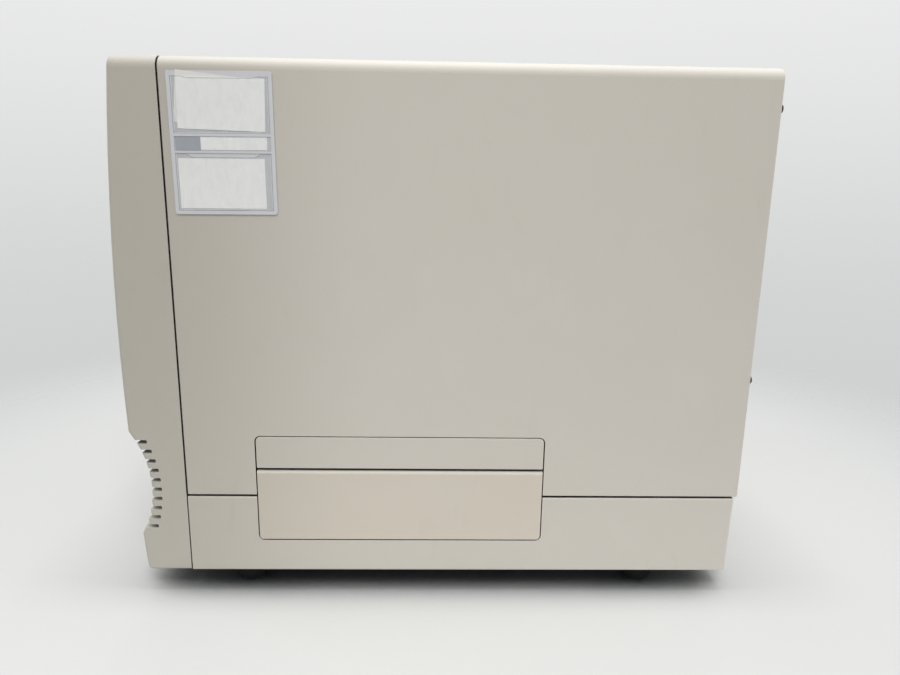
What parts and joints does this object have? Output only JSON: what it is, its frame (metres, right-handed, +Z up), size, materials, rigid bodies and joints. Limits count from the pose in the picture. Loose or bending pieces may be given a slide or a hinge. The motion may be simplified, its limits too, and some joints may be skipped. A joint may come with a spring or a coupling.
{
  "type": "real-time pcr machine",
  "caption": "Bench-top real-time PCR machine: boxy sheet-metal casing with a bowed, louvred front and a motorised plate drawer low on the right side.",
  "frame": {"origin": "on the bench, under the middle of the machine's outline", "axes": "+Z up, -Y towards the front with the louvres, +X towards the side with the plate drawer"},
  "size_m": [0.5416, 0.6682, 0.565],
  "materials": {
    "base_pan": "fine-textured powder coat, warm grey",
    "chassis_plate": "mill finish",
    "feet": "moulded black rubber",
    "top_cover": "fine-textured powder coat, warm grey",
    "front_bezel": "moulded, finely textured, warm grey",
    "status_lenses": "clear diffusing lenses",
    "power_button": "moulded grey",
    "air_filter": "dark filter foam in a frame",
    "rear_panel": "powder coat, warm grey",
    "rear_screws": "black oxide",
    "drawer_front": "moulded, a little warmer than the casing",
    "drawer_tray": "plated sheet",
    "plate_nest": "dark anodised",
    "drawer_rack": "natural acetal",
    "drawer_pinion": "machined",
    "drawer_motor": "gearmotor with a plated can",
    "slide_outer": "bright zinc",
    "slide_middle": "bright zinc",
    "slide_inner": "bright zinc",
    "rail_brackets": "bent sheet",
    "access_cover": "moulded, finely textured",
    "sample_block": "machined and plated",
    "peltier_tiles": "white alumina faces",
    "heat_sink": "extruded",
    "block_carrier": "machined",
    "block_screw": "ground",
    "block_fan_frame": "black moulding",
    "block_fan_rotor": "black moulding",
    "exhaust_fan_frames": "black-painted die casting",
    "exhaust_rotor_left": "black moulding",
    "exhaust_rotor_right": "black moulding",
    "fan_guards": "nickel-plated wire",
    "lid_bridge": "machined plate",
    "guide_posts": "ground shafts",
    "lid_carriage": "machined plate",
    "lid_platen": "hard anodised",
    "lid_springs": "spring steel",
    "lid_screw": "rolled thread",
    "lid_motor": "black stepper with bright end caps",
    "optics_deck": "black-anodised casting",
    "scan_rods": "ground shafts",
    "rod_blocks": "anodised",
    "scan_carriage": "anodised",
    "scan_lenses": "lenses in short barrels",
    "scan_screw": "rolled thread",
    "scan_motor": "black stepper with bright end caps",
    "galvo_body": "machined",
    "galvo_mirror": "front-silvered",
    "laser_head": "finned housing",
    "spectrograph": "black anodised",
    "camera": "black anodised with cooling fins",
    "power_supply": "plated steel case",
    "card_cage": "plated sheet",
    "circuit_boards": "green boards with black chips",
    "power_inlet": "black moulding",
    "switch_housing": "black moulding",
    "rocker_switch": "black rocker",
    "data_ports": "plated shells",
    "card_pocket": "grey-blue vinyl",
    "pocket_cards": "blank card"
  },
  "bodies": {
    "casing": {"base_pan": "base_pan", "chassis_plate": "chassis_plate", "feet": "feet", "top_cover": "top_cover", "front_bezel": "front_bezel", "status_lenses": "status_lenses", "air_filter": "air_filter", "rear_panel": "rear_panel", "rear_screws": "rear_screws", "drawer_motor": "drawer_motor", "slide_outer": "slide_outer", "rail_brackets": "rail_brackets", "block_fan_frame": "block_fan_frame", "exhaust_fan_frames": "exhaust_fan_frames", "fan_guards": "fan_guards", "lid_bridge": "lid_bridge", "guide_posts": "guide_posts", "lid_motor": "lid_motor", "optics_deck": "optics_deck", "scan_rods": "scan_rods", "rod_blocks": "rod_blocks", "scan_motor": "scan_motor", "galvo_body": "galvo_body", "laser_head": "laser_head", "spectrograph": "spectrograph", "camera": "camera", "power_supply": "power_supply", "card_cage": "card_cage", "circuit_boards": "circuit_boards", "power_inlet": "power_inlet", "switch_housing": "switch_housing", "data_ports": "data_ports", "card_pocket": "card_pocket", "pocket_cards": "pocket_cards"},
    "drawer": {"drawer_front": "drawer_front", "drawer_tray": "drawer_tray", "plate_nest": "plate_nest", "drawer_rack": "drawer_rack", "slide_inner": "slide_inner"},
    "middle_slides": {"slide_middle": "slide_middle"},
    "pinion": {"drawer_pinion": "drawer_pinion"},
    "access_cover": {"access_cover": "access_cover"},
    "power_button": {"power_button": "power_button"},
    "block": {"sample_block": "sample_block", "peltier_tiles": "peltier_tiles", "heat_sink": "heat_sink", "block_carrier": "block_carrier"},
    "block_screw": {"block_screw": "block_screw"},
    "block_fan": {"block_fan_rotor": "block_fan_rotor"},
    "left_fan": {"exhaust_rotor_left": "exhaust_rotor_left"},
    "right_fan": {"exhaust_rotor_right": "exhaust_rotor_right"},
    "lid": {"lid_carriage": "lid_carriage", "lid_platen": "lid_platen", "lid_springs": "lid_springs"},
    "lid_screw": {"lid_screw": "lid_screw"},
    "scanner": {"scan_carriage": "scan_carriage", "scan_lenses": "scan_lenses"},
    "scan_screw": {"scan_screw": "scan_screw"},
    "galvo_mirror": {"galvo_mirror": "galvo_mirror"},
    "rocker": {"rocker_switch": "rocker_switch"}
  },
  "joints": [
    {"name": "drawer_slide", "type": "slide", "parent": "casing", "child": "drawer", "axis": [1, 0, 0], "range_m": [0, 0.25]},
    {"name": "middle_slide", "type": "slide", "parent": "casing", "child": "middle_slides", "axis": [1, 0, 0], "range_m": [0, 0.125]},
    {"name": "pinion_spin", "type": "hinge", "parent": "casing", "child": "pinion", "pos_m": [0.246, 0.08, 0.0745], "axis": [0, 1, 0], "range_deg": [0, 1062]},
    {"name": "cover_pull", "type": "slide", "parent": "casing", "child": "access_cover", "axis": [1, 0, 0], "range_m": [0, 0.08]},
    {"name": "button_press", "type": "slide", "parent": "casing", "child": "power_button", "axis": [0, 1, 0], "range_m": [0, 0.003], "stiffness_N_per_m": 350, "springref_m": -0.002},
    {"name": "block_lift", "type": "slide", "parent": "casing", "child": "block", "axis": [0, 0, 1], "range_m": [0, 0.014]},
    {"name": "block_screw_turn", "type": "hinge", "parent": "casing", "child": "block_screw", "pos_m": [0.1, 0.053, 0.06], "axis": [0, 0, 1], "range_deg": [0, 2521]},
    {"name": "block_fan_spin", "type": "hinge", "parent": "casing", "child": "block_fan", "pos_m": [0.028, -0.042, 0.061], "axis": [1, 0, 0], "continuous": true},
    {"name": "left_fan_spin", "type": "hinge", "parent": "casing", "child": "left_fan", "pos_m": [-0.125, 0.307, 0.44], "axis": [0, 1, 0], "continuous": true},
    {"name": "right_fan_spin", "type": "hinge", "parent": "casing", "child": "right_fan", "pos_m": [0.125, 0.307, 0.44], "axis": [0, 1, 0], "continuous": true},
    {"name": "lid_lower", "type": "slide", "parent": "casing", "child": "lid", "axis": [0, 0, 1], "range_m": [-0.011, 0]},
    {"name": "lid_screw_turn", "type": "hinge", "parent": "casing", "child": "lid_screw", "pos_m": [0.1, -0.155, 0.17], "axis": [0, 0, 1], "range_deg": [-991, 0]},
    {"name": "scan_slide", "type": "slide", "parent": "casing", "child": "scanner", "axis": [1, 0, 0], "range_m": [-0.038, 0.038]},
    {"name": "scan_screw_turn", "type": "hinge", "parent": "casing", "child": "scan_screw", "pos_m": [0.1, 0.052, 0.27], "axis": [1, 0, 0], "range_deg": [-2737, 2737]},
    {"name": "galvo_turn", "type": "hinge", "parent": "casing", "child": "galvo_mirror", "pos_m": [0.1, 0.03, 0.334], "axis": [0, 1, 0], "range_deg": [-12, 12]},
    {"name": "rocker_tilt", "type": "hinge", "parent": "casing", "child": "rocker", "pos_m": [-0.149, 0.3225, 0.164], "axis": [1, 0, 0], "range_deg": [0, 14]}
  ],
  "couplings": [
    {"joint": "middle_slide", "follows": "drawer_slide", "ratio": 0.5},
    {"joint": "pinion_spin", "follows": "drawer_slide", "rad_per_m": 74.074},
    {"joint": "block_screw_turn", "follows": "block_lift", "rad_per_m": 3141.6},
    {"joint": "lid_screw_turn", "follows": "lid_lower", "rad_per_m": 1570.8},
    {"joint": "scan_screw_turn", "follows": "scan_slide", "rad_per_m": 1256.6}
  ]
}
